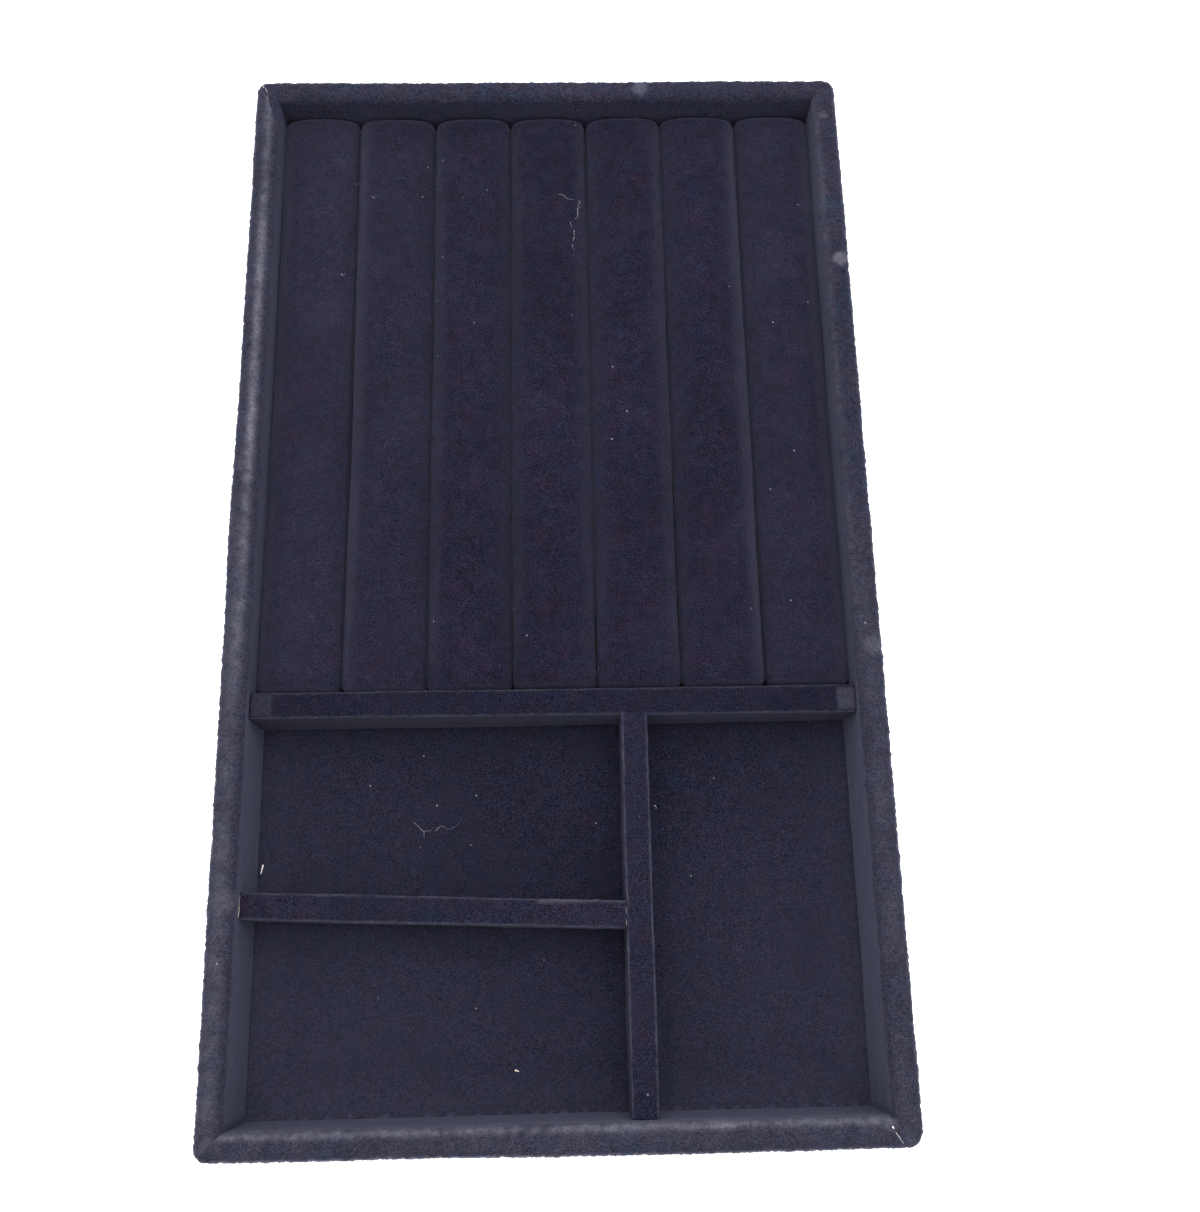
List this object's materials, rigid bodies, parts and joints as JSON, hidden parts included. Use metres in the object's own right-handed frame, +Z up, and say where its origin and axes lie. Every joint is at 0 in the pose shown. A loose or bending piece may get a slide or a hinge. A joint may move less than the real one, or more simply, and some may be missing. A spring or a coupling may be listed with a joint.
{
  "type": "jewelry tray",
  "caption": "Shallow velvet-covered jewelry tray with a bank of foam ring rolls behind a cross divider and open bays in front.",
  "frame": {"origin": "middle of the underside", "axes": "+X across the tray, +Y along the tray towards the ring rolls, +Z up"},
  "size_m": [0.2, 0.346, 0.032],
  "materials": {
    "wall_velvet": "short-pile velvet, very dark navy, brushed lighter along the rim",
    "divider_velvet": "short-pile velvet, very dark navy",
    "floor_velvet": "short-pile velvet, very dark navy, mottled where it is pressed",
    "roll_velvet": "short-pile velvet, very dark navy, stretched over foam",
    "underside_felt": "thin black pressed felt",
    "board": "plain fibreboard, unpainted",
    "card": "grey bookbinding card",
    "foam": "soft open-cell foam"
  },
  "bodies": {
    "root": {"base_board": "board", "cross_divider_board": "board", "cross_divider_velvet": "divider_velvet", "floor_card_back_left": "card", "floor_card_front_left": "card", "floor_card_right": "card", "floor_velvet_back_left": "floor_velvet", "floor_velvet_front_left": "floor_velvet", "floor_velvet_right": "floor_velvet", "long_divider_board": "board", "long_divider_velvet": "divider_velvet", "ring_pad_board": "card", "ring_roll_foam_1": "foam", "ring_roll_foam_2": "foam", "ring_roll_foam_3": "foam", "ring_roll_foam_4": "foam", "ring_roll_foam_5": "foam", "ring_roll_foam_6": "foam", "ring_roll_foam_7": "foam", "ring_roll_velvet_1": "roll_velvet", "ring_roll_velvet_2": "roll_velvet", "ring_roll_velvet_3": "roll_velvet", "ring_roll_velvet_4": "roll_velvet", "ring_roll_velvet_5": "roll_velvet", "ring_roll_velvet_6": "roll_velvet", "ring_roll_velvet_7": "roll_velvet", "short_divider_board": "board", "short_divider_velvet": "divider_velvet", "underside_sheet": "underside_felt", "wall_board_far": "board", "wall_board_left": "board", "wall_board_near": "board", "wall_board_right": "board", "wall_velvet_far": "wall_velvet", "wall_velvet_left": "wall_velvet", "wall_velvet_near": "wall_velvet", "wall_velvet_right": "wall_velvet"}
  },
  "joints": []
}
